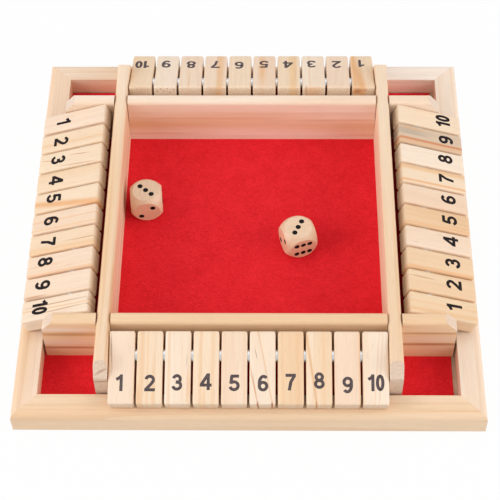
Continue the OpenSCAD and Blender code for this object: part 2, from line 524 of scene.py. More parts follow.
@dataclass(frozen=True)
class BirchFinish:
    """Birch, cut to cubes and tumbled smooth, left bare.

    To the eye it is even and close-grained, honey coloured, with faint short flecks
    and a soft burnished gloss from the tumbling.
    """

    face: str = "#ECCEB0"
    fleck: str = "#CFA07A"
    cloud: float = 4 * MM
    # Flecks are nine times as long as wide.
    fleck_width: float = 0.35 * MM
    roughness: float = 0.42

    def material(self, name: str, place: Matrix, seed: int) -> bpy.types.Material:
        """Builds the finish for one die.

        Args:
            name: The material's name.
            place: The die's own frame.
            seed: Shifts the pattern.

        Returns:
            The material.
        """
        dice = random.Random(seed)
        material, put, shader = new_material(name)
        own = put(
            "ShaderNodeMapping",
            {
                "Vector": put("ShaderNodeTexCoord").outputs["Object"],
                "Location": place.to_translation(),
                "Rotation": place.to_euler("XYZ"),
                "Scale": (9, 1, 1),
            },
            vector_type="TEXTURE",
        )
        moved = put("ShaderNodeVectorMath", {0: own, 1: [dice.uniform(0, 1) for _ in range(3)]})
        cloud = put("ShaderNodeTexNoise", {"Vector": moved, "Scale": 1 / self.cloud, "Detail": 2.0})
        fleck = put(
            "ShaderNodeTexNoise", {"Vector": moved, "Scale": 1 / self.fleck_width, "Detail": 2.0}
        )
        amount = put("ShaderNodeMapRange", {0: fleck, 1: 0.5, 2: 0.75, 3: 0.0, 4: 0.5})
        wide = put("ShaderNodeMath", {0: cloud, 1: 0.35, 2: amount}, operation="MULTIPLY_ADD")
        colour = put(
            "ShaderNodeMix", {0: wide, 6: linear(self.face), 7: linear(self.fleck)}, data_type="RGBA"
        )
        bump = put("ShaderNodeBump", {"Height": fleck, "Strength": 0.3, "Distance": 0.03 * MM})
        fill(shader, {"Base Color": colour, "Normal": bump, "Roughness": self.roughness, "IOR": 1.5})
        return material


@dataclass(frozen=True)
class FeltFinish:
    """Needled polyester felt, dyed scarlet.

    To the eye it is a flat, even red with a short soft nap: no highlight, a faint
    mottling where the fibres bunch, and a slight bloom where it is seen edge on.
    """

    dye: str = "#EE2C35"
    deep: str = "#D31A24"
    bloom: str = "#FF6A6A"
    bunch: float = 7 * MM
    # Fibres are drawn at 0.6 mm, as finer ones don't show, and lie mostly one way.
    fibre: float = 0.6 * MM
    lay: float = math.radians(28)

    def material(self, name: str) -> bpy.types.Material:
        """Builds the finish.

        Args:
            name: The material's name.

        Returns:
            The material.
        """
        material, put, shader = new_material(name)
        own = put("ShaderNodeTexCoord").outputs["Object"]
        bunch = put("ShaderNodeTexNoise", {"Vector": own, "Scale": 1 / self.bunch, "Detail": 4.0})
        lay = put(
            "ShaderNodeMapping", {"Vector": own, "Rotation": (0, 0, self.lay), "Scale": (0.45, 1, 1)}
        )
        nap = put(
            "ShaderNodeTexNoise",
            {"Vector": lay, "Scale": 1 / self.fibre, "Detail": 3.0, "Distortion": 1.5},
        )
        mixed = put("ShaderNodeMath", {0: bunch, 1: 0.35, 2: nap}, operation="MULTIPLY_ADD")
        depth = put("ShaderNodeMapRange", {0: mixed, 1: 0.48, 2: 0.87})
        colour = put(
            "ShaderNodeMix", {0: depth, 6: linear(self.deep), 7: linear(self.dye)}, data_type="RGBA"
        )
        bump = put("ShaderNodeBump", {"Height": nap, "Strength": 0.6, "Distance": 0.15 * MM})
        fill(
            shader,
            {
                "Base Color": colour,
                "Normal": bump,
                "Roughness": 0.95,
                "Specular IOR Level": 0.1,
                "Sheen Weight": 0.15,
                "Sheen Roughness": 0.5,
                "Sheen Tint": linear(self.bloom),
            },
        )
        return material


@dataclass(frozen=True)
class PlywoodFinish:
    """Thin basswood plywood, rotary cut and rough sanded.

    To the eye it is pale tan with broad, wavy flat-cut figure and fine open pores.
    """

    face: str = "#EAD6C0"
    figure: str = "#D3B795"
    figure_gap: float = 12 * MM
    pore: float = 0.4 * MM

    def material(self, name: str) -> bpy.types.Material:
        """Builds the finish.

        Args:
            name: The material's name.

        Returns:
            The material.
        """
        material, put, shader = new_material(name)
        own = put("ShaderNodeTexCoord").outputs["Object"]
        wide = put("ShaderNodeMapping", {"Vector": own, "Scale": (0.12, 1, 1)})
        figure = put(
            "ShaderNodeTexNoise",
            {"Vector": wide, "Scale": 1 / self.figure_gap, "Detail": 3.0, "Distortion": 1.2},
        )
        pore = put("ShaderNodeTexNoise", {"Vector": wide, "Scale": 1 / self.pore, "Detail": 2.0})
        mixed = put("ShaderNodeMath", {0: pore, 1: 0.4, 2: figure}, operation="MULTIPLY_ADD")
        amount = put("ShaderNodeMapRange", {0: mixed, 1: 0.55, 2: 0.9})
        colour = put(
            "ShaderNodeMix",
            {0: amount, 6: linear(self.face), 7: linear(self.figure)},
            data_type="RGBA",
        )
        bump = put("ShaderNodeBump", {"Height": pore, "Strength": 0.5, "Distance": 0.08 * MM})
        fill(shader, {"Base Color": colour, "Normal": bump, "Roughness": 0.65})
        return material


@dataclass(frozen=True)
class SteelFinish:
    """Steel wire or stamping, with fine marks from drawing or plating.

    To the eye it mirrors the light and the dark beside it, slightly blurred, with
    faint streaks that break up the highlight.
    """

    tone: str
    roughness: float
    streak: float = 0.3 * MM

    def material(self, name: str) -> bpy.types.Material:
        """Builds the finish.

        Args:
            name: The material's name.

        Returns:
            The material.
        """
        material, put, shader = new_material(name)
        own = put("ShaderNodeTexCoord").outputs["Object"]
        marks = put("ShaderNodeTexNoise", {"Vector": own, "Scale": 1 / self.streak, "Detail": 3.0})
        gloss = put(
            "ShaderNodeMapRange",
            {0: marks, 1: 0.3, 2: 0.7, 3: self.roughness * 0.7, 4: self.roughness * 1.3},
        )
        bump = put("ShaderNodeBump", {"Height": marks, "Strength": 0.2, "Distance": 0.02 * MM})
        tone = linear(self.tone)
        fill(shader, {"Base Color": tone, "Metallic": 1.0, "Roughness": gloss, "Normal": bump})
        return material


@dataclass(frozen=True)
class InkFinish:
    """Solvent ink, pad printed on bare wood.

    To the eye it is a thin film, nearly black, with hardly any gloss, a little paler
    in places where the wood has drunk it in. A dark grey copy carries painted sheen.
    """

    tone: str
    thin: str
    roughness: float = 0.55
    blotch: float = 1.2 * MM

    def material(self, name: str) -> bpy.types.Material:
        """Builds the finish.

        Args:
            name: The material's name.

        Returns:
            The material.
        """
        material, put, shader = new_material(name)
        own = put("ShaderNodeTexCoord").outputs["Object"]
        blotch = put("ShaderNodeTexNoise", {"Vector": own, "Scale": 1 / self.blotch, "Detail": 4.0})
        amount = put("ShaderNodeMapRange", {0: blotch, 1: 0.42, 2: 0.75})
        colour = put(
            "ShaderNodeMix", {0: amount, 6: linear(self.tone), 7: linear(self.thin)}, data_type="RGBA"
        )
        gloss = put("ShaderNodeMapRange", {0: blotch, 3: self.roughness, 4: self.roughness + 0.2})
        fill(shader, {"Base Color": colour, "Roughness": gloss, "Specular IOR Level": 0.1})
        return material


# ---- Tray ----


# Figure on the dividers: along is to the right as seen from outside, through is upwards.
DIVIDER_MARKS = {
    Side.FRONT: tuple(
        Mark(tone, -3, 4, along=along, reach=34, amount=amount, through=through, depth=depth)
        for tone, along, amount, through, depth in (
            ("#C4905E", -85, 0.8, 5.6, 2.0),
            ("#B9744C", -85, 0.8, -5.4, 1.4),
            ("#F3DECC", -85, 0.7, 9.6, 2.6),
            ("#F0D3BE", -85, 0.7, -1.0, 2.8),
            ("#C4905E", 85, 0.7, 7.4, 1.4),
            ("#B9744C", 85, 0.8, -1.8, 1.6),
            ("#F0D3BE", 85, 0.7, 2.6, 2.2),
            ("#EDC3A8", 85, 0.5, -7, 2.4),
        )
    ),
    Side.BACK: tuple(
        Mark("#E0A878", 3, 4, along=along, reach=reach, amount=amount, through=through, depth=depth)
        for along, reach, amount, through, depth in (
            (24, 62, 0.45, 4.3, 1.3),
            (-44, 40, 0.45, 2.4, 1.2),
            (-60, 24, 0.35, -9, 1.6),
            (50, 34, 0.35, -8, 1.4),
        )
    ),
    Side.LEFT: (
        Mark("#D3A473", 2.4, 0.8, along=62, reach=44, amount=0.6, through=15, depth=5),
        Mark("#DDB283", -1.0, 0.8, along=20, reach=90, amount=0.5, through=15, depth=5),
        Mark("#DDB283", -2.6, 0.8, along=-40, reach=50, amount=0.5, through=15, depth=5),
        *(
            Mark("#B06A54", 3, 2, along=0, reach=120, amount=0.6, through=through, depth=depth)
            for through, depth in ((9, 0.6), (3, 0.8), (-5, 0.9))
        ),
        Mark("#A8794F", 0.3, 0.6, along=94.2, reach=4.5, slant=-2.4, amount=0.65),
        Mark("#A8794F", 0, 7, along=96, reach=5, through=6.6, depth=0.9, amount=0.75),
        Mark("#A8794F", 0, 7, along=96, reach=5, through=-8.4, depth=1.2, amount=0.75),
    ),
    Side.RIGHT: (
        Mark("#DDB283", -1.8, 0.8, along=-40, reach=60, amount=0.5, through=15, depth=5),
        Mark("#C98A70", 3, 2, along=10, reach=120, amount=0.4, through=1, depth=0.8),
    ),
}


@dataclass
class Tray:
    """The mitred frame, the base board and the two pairs of dividers."""

    rail_middle: float = 103.2 * MM
    divider_middle: float = 67.25 * MM
    divider_height: float = 32.5 * MM
    # The early-wood colour of each length, front, right, back and left; the back ones are the palest.
    rail_planks: tuple[str, ...] = ("#EFD2B2", "#F3DEC9", "#F8E7D8", "#F2D6BD")
    divider_planks: tuple[str, ...] = ("#F1D0AA", "#EED4B7", "#F9E7D5", "#F1D7BC")
    # Seeds of the first rail and divider; the others count on from them.
    rail_seed: int = 11
    divider_seed: int = 31
    rail_pine: PineFinish = PineFinish()
    # The dividers were sawn with the rings lying flat, so their faces are lined lengthways.
    divider_pine: PineFinish = PineFinish(
        ring=9 * MM, contrast=0.32, slope=0.3, pith=130 * MM, pith_angle=90, bend=1.6 * MM
    )
    plywood: PlywoodFinish = PlywoodFinish()

    def dress_plank(self, name: str, pine: PineFinish, place: Matrix, seed: int) -> None:
        """Gives one rail or divider its timber.

        Args:
            name: The CAD node.
            pine: Its finish.
            place: Its own frame, with X along it.
            seed: Picks where in the log it was cut.
        """
        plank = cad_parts[name]
        wear(pine.material(f"sanded_pine_{name}", place, seed), plank)
        report(plank, "sanded pine")

    def dress(self) -> None:
        """Gives the rails, the dividers and the base board their timber."""
        for at, side in enumerate(Side):
            pine = replace(self.rail_pine, early=self.rail_planks[at])
            place = side.turn @ Matrix.Translation((0, -self.rail_middle, RAIL_HEIGHT / 2))
            self.dress_plank(f"{side.label}_rail", pine, place, self.rail_seed + at)
            early, marks = self.divider_planks[at], DIVIDER_MARKS[side]
            pine = replace(self.divider_pine, early=early, marks=marks)
            place = side.turn @ Matrix.Translation((0, -self.divider_middle, self.divider_height / 2))
            self.dress_plank(f"{side.label}_divider", pine, place, self.divider_seed + at)
        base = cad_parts["base_board"]
        wear(self.plywood.material("basswood_plywood"), base)
        report(base, "plywood base")


@dataclass
class FeltLining:
    """The sheet of felt glued over the base board, cut a little small for the frame."""

    width: float = 192.8 * MM
    depth: float = 194.0 * MM
    middle: tuple[float, float] = (-1.0 * MM, -0.4 * MM)
    thickness: float = 0.8 * MM
    rows: int = 96
    lift: float = 0.05 * MM
    ripple: float = 40 * MM
    finish: FeltFinish = FeltFinish()

    def recipe(self) -> Recipe:
        """The tree that makes the sheet, uneven where the glue has taken it up.

        Returns:
            The recipe.
        """
        recipe = Recipe(
            "felt_sheet",
            {
                "Width": self.width,
                "Depth": self.depth,
                "Thickness": self.thickness,
                "Lift": self.lift,
                "Ripple": 1 / self.ripple,
                "Place": (*self.middle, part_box("felt_lining")[1].z),
                "Rows": self.rows,
            },
        )
        put = recipe.add
        grid = put(
            "GeometryNodeMeshGrid",
            {"Size X": "Width", "Size Y": "Depth", "Vertices X": "Rows", "Vertices Y": "Rows"},
        )
        wave = put("ShaderNodeTexNoise", {"Scale": "Ripple"})
        under = put("ShaderNodeMath", {0: wave, 1: 1.0}, operation="SUBTRACT")
        sink = put("ShaderNodeMath", {0: "Lift", 1: under}, operation="MULTIPLY")
        down = put("ShaderNodeCombineXYZ", {"Z": sink})
        lie = put("ShaderNodeVectorMath", {0: "Place", 1: down})
        placed = put("GeometryNodeSetPosition", {"Geometry": grid, "Offset": lie})
        recipe.close(recipe.wall(placed, "Thickness"))
        return recipe

    def build(self) -> None:
        finish = self.finish.material("needled_felt")
        sheet = new_object("felt_sheet", self.recipe().run(finish), finish)
        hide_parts("felt_lining")
        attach(sheet, "board")
        report(sheet, "laid felt")


# ---- Rods and washers ----


@dataclass
class Hinges:
    """The steel rods that the tiles turn on, and the washers between the tiles."""

    outer: float = 4.5 * MM
    bore: float = 1.5 * MM
    thickness: float = 0.42 * MM
    bevel: float = 0.12 * MM
    washer_sides: int = 40
    # A washer hangs a little below the rod's middle, and leans by up to this many radians.
    drop: float = 0.09 * MM
    lean: float = 0.012
    crease: float = math.radians(50)
    wire: SteelFinish = SteelFinish("#A9ABB0", 0.3)
    plate: SteelFinish = SteelFinish("#CDD0D3", 0.22)

    def recipe(self) -> Recipe:
        """The tree that strings washers along a rod at the front.

        Returns:
            The recipe.
        """
        recipe = Recipe(
            "washer_string",
            {
                "Washers": TILE_COUNT - 1,
                "Pitch": PITCH,
                "Outer": self.outer,
                "Bore": self.bore,
                "Thickness": self.thickness,
                "Lean": self.lean,
                "Seed": 0,
            },
        )
        put = recipe.add
        wall = put("ShaderNodeMath", {0: "Outer", 1: "Bore"}, operation="SUBTRACT")
        total = put("ShaderNodeMath", {0: "Outer", 1: "Bore"}, operation="ADD")
        middle = put("ShaderNodeMath", {0: total, 1: 0.5}, operation="MULTIPLY")
        path = put("GeometryNodeCurvePrimitiveCircle", {"Resolution": self.washer_sides, "Radius": middle})
        section = put(
            "GeometryNodeCurvePrimitiveQuadrilateral", {"Width": "Thickness", "Height": wall}
        )
        eased = put(
            "GeometryNodeFilletCurve", {"Curve": section, "Radius": self.bevel, "Count": 2}, mode="POLY"
        )
        ring = put("GeometryNodeCurveToMesh", {"Curve": path, "Profile Curve": eased})
        # The ring is made flat, and the string runs along X, so each ring stands up.
        stood = put("GeometryNodeTransform", {"Geometry": ring, "Rotation": (0.0, math.pi / 2, 0.0)})
        gaps = put("ShaderNodeMath", {0: "Washers", 1: 1.0}, operation="SUBTRACT")
        half = put("ShaderNodeMath", {0: gaps, 1: -0.5}, operation="MULTIPLY")
        first = put("ShaderNodeMath", {0: half, 1: "Pitch"}, operation="MULTIPLY")
        start = put("ShaderNodeCombineXYZ", {"X": first})
        step = put("ShaderNodeCombineXYZ", {"X": "Pitch"})
        line = put("GeometryNodeMeshLine", {"Count": "Washers", "Start Location": start, "Offset": step})
        back = put("ShaderNodeMath", {0: "Lean", 1: -1.0}, operation="MULTIPLY")
        least = put("ShaderNodeCombineXYZ", {"Y": back, "Z": back})
        most = put("ShaderNodeCombineXYZ", {"Y": "Lean", "Z": "Lean"})
        swing = put(
            "FunctionNodeRandomValue", {0: least, 1: most, "Seed": "Seed"}, data_type="FLOAT_VECTOR"
        )
        strung = put(
            "GeometryNodeInstanceOnPoints", {"Points": line, "Instance": stood, "Rotation": swing}
        )
        recipe.close(strung)
        return recipe

    def build(self) -> None:
        """Dresses the rods and hangs a string of washers on each."""
        recipe = self.recipe()
        wire = self.wire.material("drawn_steel_wire")
        plate = self.plate.material("zinc_plated_steel")
        hung = Matrix.Translation((0, -ROD_REACH, ROD_HEIGHT - self.drop))
        for at, side in enumerate(Side):
            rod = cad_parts[f"{side.label}_rod"]
            wear(wire, rod)
            report(rod, "drawn steel rod")
            mesh = recipe.run(plate, Seed=at)
            mesh.transform(side.turn @ hung)
            mesh.set_sharp_from_angle(angle=self.crease)
            washers = new_object(f"{side.label}_washer_string", mesh, plate)
            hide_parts(f"{side.label}_washers")
            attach(washers, "board")
            report(washers, "string of plated washers")


# ---- Numbered tiles ----


def arc(
    x: float, y: float, rx: float, ry: float, start: float, end: float, steps: int = 18
) -> Stroke:
    """Points along part of an ellipse.

    Args:
        x: Middle across.
        y: Middle up.
        rx: Half width.
        ry: Half height.
        start: First angle in degrees, anticlockwise from the right.
        end: Last angle.
        steps: Number of straight pieces.

    Returns:
        The points in order.
    """
    angles = [math.radians(start + (end - start) * i / steps) for i in range(steps + 1)]
    return [(x + rx * math.cos(a), y + ry * math.sin(a)) for a in angles]


# Pen strokes of each figure, in figure heights, for a pen about 0.19 wide.
STROKES: dict[str, list[Stroke]] = {
    "0": [arc(0.31, 0.5, 0.215, 0.405, 0, 360, 40)],
    "1": [[(0.36, 0.0), (0.36, 1.0)], [(0.37, 0.93), (0.26, 0.80), (0.08, 0.70)]],
    "2": [
        arc(0.31, 0.695, 0.205, 0.21, 172, -30) + [(0.34, 0.38), (0.12, 0.14)],
        [(0.02, 0.095), (0.61, 0.095)],
    ],
    "3": [
        arc(0.30, 0.70, 0.185, 0.205, 168, -80) + [(0.24, 0.52)],
        [(0.24, 0.53)] + arc(0.30, 0.315, 0.215, 0.22, 75, -170),
    ],
    "4": [
        [(0.45, 0.94), (0.07, 0.31)],
        [(0.0, 0.30), (0.655, 0.30)],
        [(0.47, 0.0), (0.47, 1.0)],
    ],
    "5": [
        [(0.12, 0.905), (0.57, 0.905)],
        [(0.175, 0.93), (0.12, 0.45)],
        [(0.10, 0.52)] + arc(0.30, 0.33, 0.225, 0.235, 118, -165),
    ],
    "6": [
        arc(0.32, 0.32, 0.205, 0.225, 0, 360, 36),
        arc(0.35, 0.50, 0.235, 0.405, 198, 48),
    ],
    "7": [[(0.03, 0.905), (0.60, 0.905)], [(0.53, 0.90), (0.32, 0.50), (0.23, 0.0)]],
    "8": [arc(0.31, 0.715, 0.175, 0.19, 0, 360, 36), arc(0.31, 0.30, 0.21, 0.205, 0, 360, 36)],
    "9": [
        arc(0.31, 0.68, 0.205, 0.225, 0, 360, 36),
        arc(0.28, 0.50, 0.235, 0.405, 18, -132),
    ],
}
FIGURE_WIDTH = 0.62
# How far each figure of a pair is squeezed, and where it starts.
PAIR = ((0.95, -0.54), (0.74, 0.0))


@dataclass
class FigurePrinter:
    """Draws the printed figures as thin films of ink, one solid for each stroke set."""

    height: float = 7.7 * MM
    pen: float = 1.42 * MM
    film: float = 0.05 * MM
    breadth: float = 1.06
    recipe: Recipe = field(init=False)

    def __post_init__(self) -> None:
        """Builds the tree that thickens a pen stroke."""
        self.recipe = Recipe("inked_strokes", {"Pen": self.pen, "Film": self.film})
        put = self.recipe.add
        line = put("GeometryNodeMeshToCurve", {"Mesh": "Geometry"})
        level = put("GeometryNodeSetCurveNormal", {"Curve": line}, mode="Z_UP")
        nib = put("GeometryNodeCurvePrimitiveQuadrilateral", {"Width": "Pen", "Height": "Film"})
        self.recipe.close(
            put("GeometryNodeCurveToMesh", {"Curve": level, "Profile Curve": nib, "Fill Caps": True})
        )

    def text_strokes(self, text: str) -> list[Stroke]:
        """The pen strokes of a number, centred across, in figure heights.

        Args:
            text: The number; two figures are set close and narrow.

        Returns:
            The strokes.
        """
        if len(text) == 1:
            middle = FIGURE_WIDTH / 2
            return [[(self.breadth * (x - middle), y) for x, y in s] for s in STROKES[text]]
        return [
            [(start + x * squeeze, y) for x, y in s]
            for figure, (squeeze, start) in zip(text, PAIR)
            for s in STROKES[figure]
        ]

    def draw(self, text: str, ink: bpy.types.Material) -> bpy.types.Mesh:
        """Draws a number, standing on the X axis and centred on the origin.

        Args:
            text: The number.
            ink: Its finish.

        Returns:
            The film of ink as one closed mesh.
        """
        films = []
        for stroke in self.text_strokes(text):
            closed = math.dist(stroke[0], stroke[-1]) < WELD
            points = stroke[:-1] if closed else stroke
            last = len(points) - 1
            edges = [(i, i + 1) for i in range(last)] + ([(last, 0)] if closed else [])
            mesh = bpy.data.meshes.new("stroke")
            mesh.from_pydata([(x * self.height, y * self.height, 0) for x, y in points], edges, [])
            films.append(self.recipe.run(ink, mesh))
        return fuse(films)


def fuse(meshes: list[bpy.types.Mesh]) -> bpy.types.Mesh:
    """Joins closed meshes that overlap into one skin.

    Args:
        meshes: The closed meshes.

    Returns:
        The one mesh.
    """
    objects = []
    for mesh in meshes:
        obj = bpy.data.objects.new("part", mesh)
        bpy.context.scene.collection.objects.link(obj)
        objects.append(obj)
    first = objects[0]
    for other in objects[1:]:
        union = first.modifiers.new("union", "BOOLEAN")
        union.operation, union.solver, union.object = "UNION", "EXACT", other
    seen = bpy.context.evaluated_depsgraph_get()
    mesh = bpy.data.meshes.new_from_object(first.evaluated_get(seen))
    for obj in objects:
        bpy.data.objects.remove(obj)
    return mesh


class Timber(Enum):
    """The kinds of pine that the tiles were cut from, by early, warm and late wood."""

    PALE = ("#F4DFC9", "#F0D5B8", "#E2BA94")
    PINK = ("#F2D8BF", "#EECEB1", "#DFB394")
    CREAM = ("#F2D8BB", "#EDCCA8", "#DDAF80")
    HONEY = ("#EFD0AC", "#EAC39B", "#D6A272")
    TAN = ("#EBC59D", "#E5BB8F", "#D09C6C")
    DUSKY = ("#DBC3AA", "#D5B89B", "#C29D7B")


# The timber of each row's tiles, 1 to 10.
TIMBERS = {
    Side.FRONT: "PINK CREAM PALE CREAM PINK PALE HONEY CREAM PINK PALE",
    Side.RIGHT: "HONEY HONEY HONEY PINK TAN PINK CREAM PALE DUSKY CREAM",
    Side.BACK: "CREAM PINK PALE CREAM PINK CREAM PINK PINK PALE CREAM",
    Side.LEFT: "PINK CREAM CREAM CREAM CREAM PINK CREAM PINK PINK PALE",
}
AMBER, ORANGE, BROWN = "#E8B680", "#E6A566", "#B97A48"
RUST, CRACK, STAIN = "#A4562C", "#6A4A3A", "#B0A08E"
# What sets some tiles apart, in millimetres: along counts outwards from the bore, across
# to the right.
MARKS = {
    (Side.FRONT, 1): (Mark(CRACK, -4.6, 0.3, along=-1, reach=13, slant=0.05, amount=0.7),),
    (Side.FRONT, 2): (
        Mark(ORANGE, -3.4, 1.2, amount=0.25),
        Mark(AMBER, -0.8, 0.9, amount=0.35),
        Mark(AMBER, 1.8, 1.0, along=16, reach=18, amount=0.45),
        Mark(ORANGE, -4.8, 1.2, along=20, reach=9),
    ),
    (Side.FRONT, 3): (
        Mark(AMBER, -4.0, 0.9, amount=0.45),
        Mark(CRACK, 4.1, 0.25, along=3, reach=4),
        Mark(AMBER, 4.8, 1.2, along=16, reach=12),
    ),
    (Side.FRONT, 4): (
        Mark(AMBER, -2.2, 1.3, amount=0.4),
        Mark(AMBER, 3.4, 1.4, amount=0.35),
        Mark(ORANGE, -0.4, 0.9, along=21, reach=9, amount=0.4),
    ),
    (Side.FRONT, 5): (Mark(AMBER, 4.6, 0.7, amount=0.35),),
    (Side.FRONT, 6): (
        Mark("#E0AE80", 0.9, 0.5, along=4, slant=0.2, amount=0.6),
        Mark("#D08E5C", -3.6, 0.5, along=15, reach=14, slant=0.19, amount=0.75),
        Mark(CRACK, -2.8, 0.2, along=0, reach=3, slant=0.2, amount=0.8),
        Mark(RUST, -2.0, 0.6, along=23.5, reach=2, amount=0.95),
        Mark(RUST, 4.4, 0.6, along=23.5, reach=2, amount=0.95),
    ),
    (Side.FRONT, 7): (Mark(ORANGE, -3.6, 1.6, amount=0.2), Mark(ORANGE, 3.0, 1.2, amount=0.15)),
    (Side.FRONT, 8): (
        Mark("#DFA873", -2.8, 0.9, along=10, slant=0.15, amount=0.7),
        Mark(AMBER, 2.2, 1.6, amount=0.3),
        Mark(RUST, -0.8, 0.4, along=23.5, reach=2.5, slant=0.2, amount=0.6),
    ),
    (Side.FRONT, 9): (Mark(ORANGE, 5.5, 1.0, amount=0.4),),
    (Side.FRONT, 10): (Mark("#E8C09E", 0.6, 0.6, slant=-0.09), Mark("#E8C09E", 2.4, 0.5, slant=-0.07)),
    (Side.RIGHT, 1): (Mark(AMBER, -3.6, 1.6), Mark(AMBER, 0.5, 1.1, amount=0.35)),
    (Side.RIGHT, 2): (Mark(BROWN, 1.9, 0.5, along=-4, reach=9, slant=-0.04, amount=0.7),),
    (Side.RIGHT, 3): (Mark(ORANGE, -5.2, 1.2),),
    (Side.RIGHT, 4): (Mark(CRACK, -3.4, 0.2, along=-6, reach=2), Mark(CRACK, 3.2, 0.2, along=7, reach=2)),
    (Side.RIGHT, 5): (Mark(ORANGE, -4.6, 0.8), Mark(ORANGE, -2.6, 0.6, along=18, reach=12)),
    (Side.RIGHT, 7): (Mark(ORANGE, -4.1, 1.1, amount=0.7), Mark(AMBER, 4.4, 2.4, amount=0.7)),
    (Side.RIGHT, 9): (
        Mark(STAIN, 2.4, 3.4, along=-8, reach=18, amount=0.6),
        Mark(STAIN, 0.6, 0.8, along=-4, reach=11, amount=0.6),
        Mark(ORANGE, -4.8, 1.2, amount=0.5),
        Mark("#D07E48", -2.9, 1.2, amount=0.9),
        Mark(ORANGE, 3.9, 0.8, along=-4, reach=12, amount=0.6),
    ),
    (Side.BACK, 1): (
        Mark("#E2A468", 1.6, 3.6, along=-6, reach=40, slant=0.08, amount=0.8),
        Mark("#E6A35A", 4.6, 1.6, amount=0.6),
        Mark("#B86428", 3.4, 2.8, along=-11, reach=2.2, depth=2.0, through=2.0, amount=0.7),
        Mark("#C47A40", -0.6, 2.2, along=-11, reach=1.2, depth=0.8, through=2.8, amount=0.4),
    ),
    (Side.BACK, 3): (
        Mark(BROWN, 4.2, 0.9, along=-11, reach=2.5),
        Mark(AMBER, 2.1, 0.8, amount=0.4),
        Mark(ORANGE, 0, 6, along=-11, reach=1.4, amount=0.4),
    ),
    (Side.BACK, 4): (Mark("#EBBB7E", -1.6, 2.4, amount=0.6), Mark(AMBER, -3.4, 1.4)),
    (Side.BACK, 5): (Mark("#E9B27A", 0.9, 2.8, along=9, reach=26, amount=0.75),),
    (Side.BACK, 7): (
        Mark("#E9B27A", -3.0, 2.2, amount=0.6),
        Mark(AMBER, -1.4, 1.6),
        Mark(BROWN, 1, 5, along=-11, reach=1.5, amount=0.2),
    ),
    (Side.BACK, 8): (Mark(AMBER, 0.6, 0.9, along=-4, reach=14, amount=0.4),),
    (Side.BACK, 9): tuple(
        Mark(RUST, x, 0.5, along=-10.9, reach=0.8, through=z, depth=0.5, amount=0.9)
        for x, z in ((-4.6, 2.6), (-2.5, 0.6), (-1.2, 3.1), (0.8, 1.7), (2.4, 3.2), (4.1, 2.1), (-3.4, -1.0))
    ),
    (Side.BACK, 10): (Mark(BROWN, 0, 7, along=-11, reach=1.5, amount=0.25),),
    (Side.LEFT, 2): (Mark(BROWN, -5.4, 1.2, amount=0.5), Mark(AMBER, 1.8, 1.2, amount=0.45)),
    (Side.LEFT, 3): (
        Mark(BROWN, -1.4, 0.45, along=1, reach=7, slant=-0.1, amount=0.75),
        Mark(BROWN, 4.6, 0.4, along=2, reach=14, slant=-0.05, amount=0.75),
        Mark(BROWN, -0.8, 0.45, along=19, reach=6, slant=-0.2),
    ),
    (Side.LEFT, 5): (Mark(ORANGE, 3.2, 2.6, slant=-0.14, amount=0.75),),
    (Side.LEFT, 6): (Mark(ORANGE, -0.4, 0.9, amount=0.35), Mark(AMBER, 4.4, 0.8)),
    (Side.LEFT, 7): (Mark(BROWN, 1.1, 0.4, along=-6, reach=14, amount=0.65), Mark(AMBER, 4.4, 2.6)),
    (Side.LEFT, 8): (
        Mark(ORANGE, 0.8, 0.7, along=14, reach=14, amount=0.4),
        Mark(ORANGE, 5.2, 0.8, amount=0.35),
    ),
    (Side.LEFT, 9): (Mark(BROWN, 5.4, 0.7, along=18, reach=9, amount=0.7),),
    (Side.LEFT, 10): (
        Mark("#AE733F", -1.9, 0.5, reach=24, slant=0.03, amount=0.7),
        Mark("#AE733F", 2.3, 0.5, along=3, reach=18, slant=0.04, amount=0.65),
        Mark(AMBER, 0.4, 0.8),
        *(Mark("#A87850", x, 0.5, along=-10.9, reach=2, slant=0.6, amount=0.6) for x in (1.5, -1.5)),
    ),
}
# How each row's stamp sat, in mm: off the middle, outwards, and outwards again per tile.
PRINTING = {
    Side.FRONT: (0.0, 0.0, 0.0),
    Side.RIGHT: (1.0, -0.5, 0.25),
    Side.BACK: (0.5, 0.5, 0.0),
    Side.LEFT: (-0.5, 0.0, 0.25),
}
# The few numbers plainly out of their row, in mm to the right and outwards. The others
# wander a little at random, as stamping by hand leaves them.
STRAYS = {
    (Side.FRONT, 8): (0.0, -1.0),
    (Side.FRONT, 9): (0.0, 1.0),
    (Side.RIGHT, 9): (0.0, 1.0),
    (Side.BACK, 1): (0.0, 1.0),
    (Side.BACK, 6): (0.0, -1.0),
    (Side.LEFT, 1): (1.0, 0.0),
    (Side.LEFT, 2): (1.0, 0.0),
    (Side.LEFT, 5): (-1.0, 0.0),
    (Side.LEFT, 8): (-1.0, 0.0),
}


